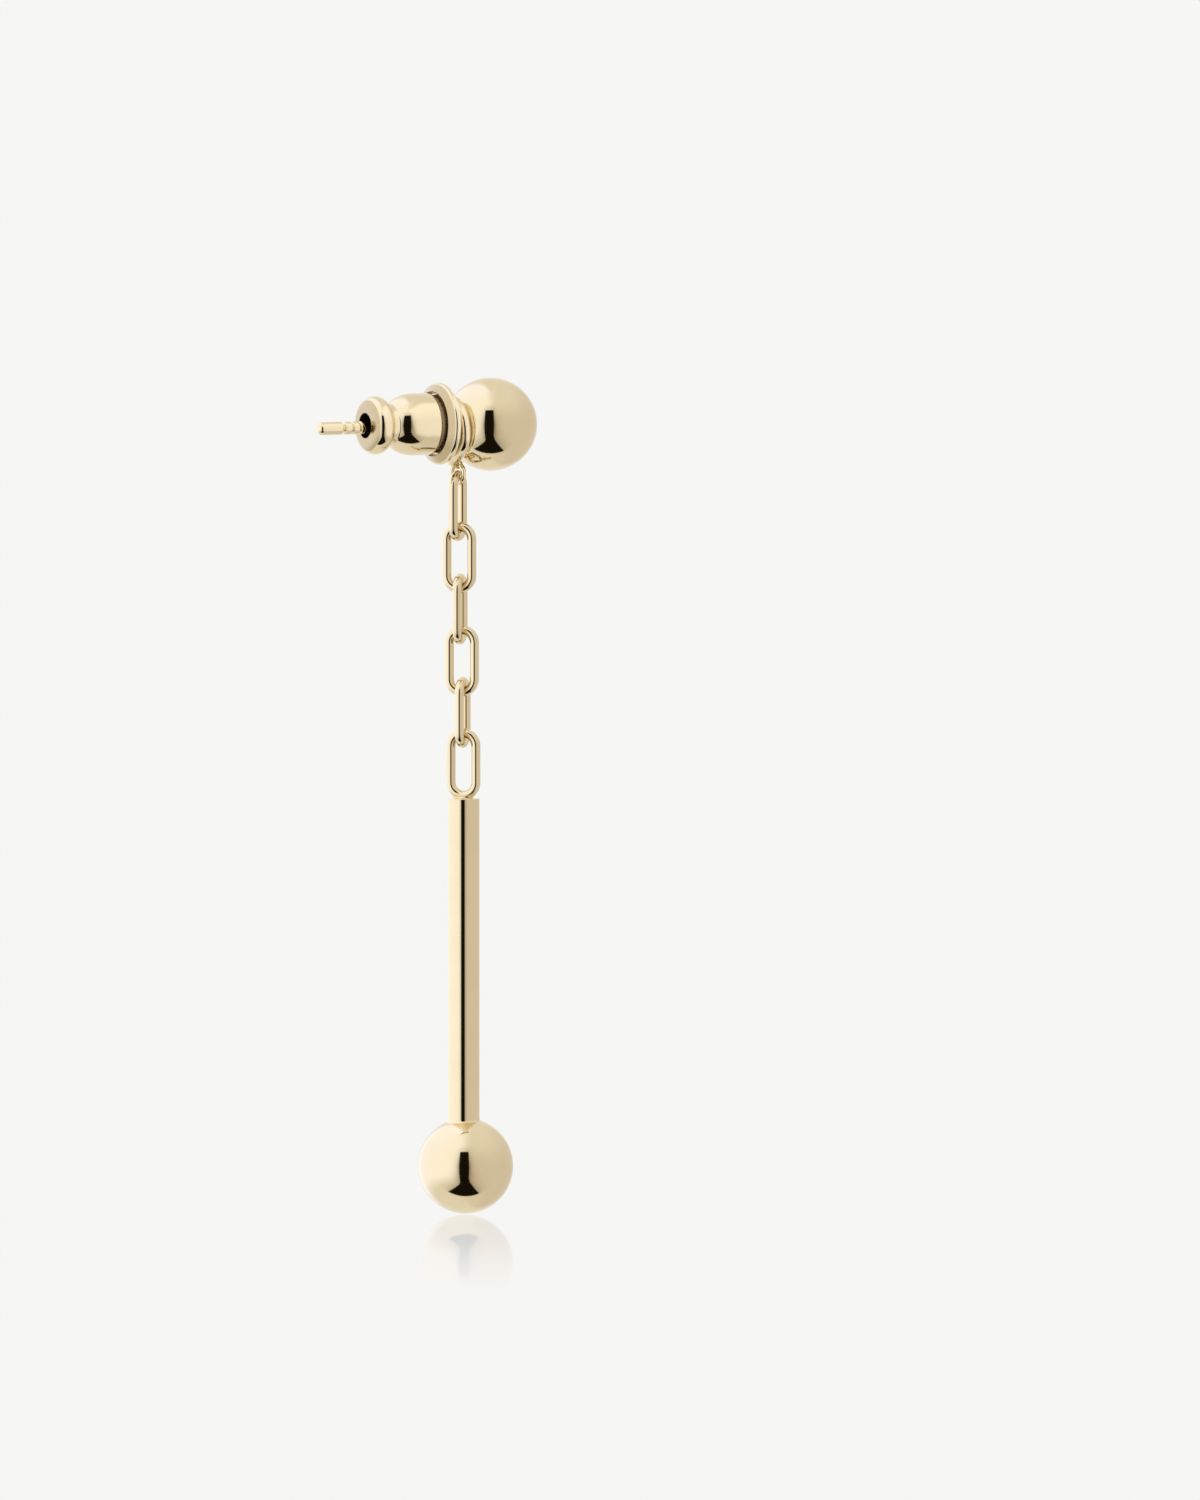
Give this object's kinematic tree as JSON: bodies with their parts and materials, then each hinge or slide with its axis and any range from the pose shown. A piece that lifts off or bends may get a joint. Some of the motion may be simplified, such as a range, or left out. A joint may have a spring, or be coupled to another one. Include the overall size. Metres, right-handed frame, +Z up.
{
  "type": "drop earring",
  "caption": "Long drop earring: ball stud with a bullet clutch, wire hoop, short link chain, slim round bar and a ball at its foot.",
  "frame": {"origin": "on the post's axis where the ear lobe begins, just behind the hoop", "axes": "+Y back along the post to its tip, -Y out of the ear when worn, +Z up along the hanging drop"},
  "size_m": [0.0062, 0.0158, 0.0538],
  "materials": {
    "polished_gold": "mirror polished, pale champagne gold plate",
    "clutch_gold": "mirror polished, pale champagne gold plate",
    "wire_gold": "polished wire, pale champagne gold plate"
  },
  "bodies": {
    "stud": {"ball_stud": "polished_gold"},
    "clutch": {"clutch_body": "clutch_gold", "clutch_disc": "clutch_gold"},
    "hanger": {"hanger_hoop": "wire_gold", "link_1": "wire_gold", "link_2": "wire_gold", "link_3": "wire_gold", "link_4": "wire_gold", "link_5": "wire_gold"},
    "drop": {"bar_drop": "polished_gold"}
  },
  "joints": [
    {"name": "clutch_slide", "type": "slide", "parent": "stud", "child": "clutch", "axis": [0, 1, 0], "range_m": [0, 0.0095]},
    {"name": "hanger_swing", "type": "hinge", "parent": "stud", "child": "hanger", "pos_m": [0, 0, 0], "axis": [0, 1, 0], "range_deg": [-90, 90]},
    {"name": "drop_swing", "type": "hinge", "parent": "hanger", "child": "drop", "pos_m": [0, -0.00142, -0.02051], "axis": [-0.7071, 0.7071, 0], "range_deg": [-85, 85]}
  ]
}
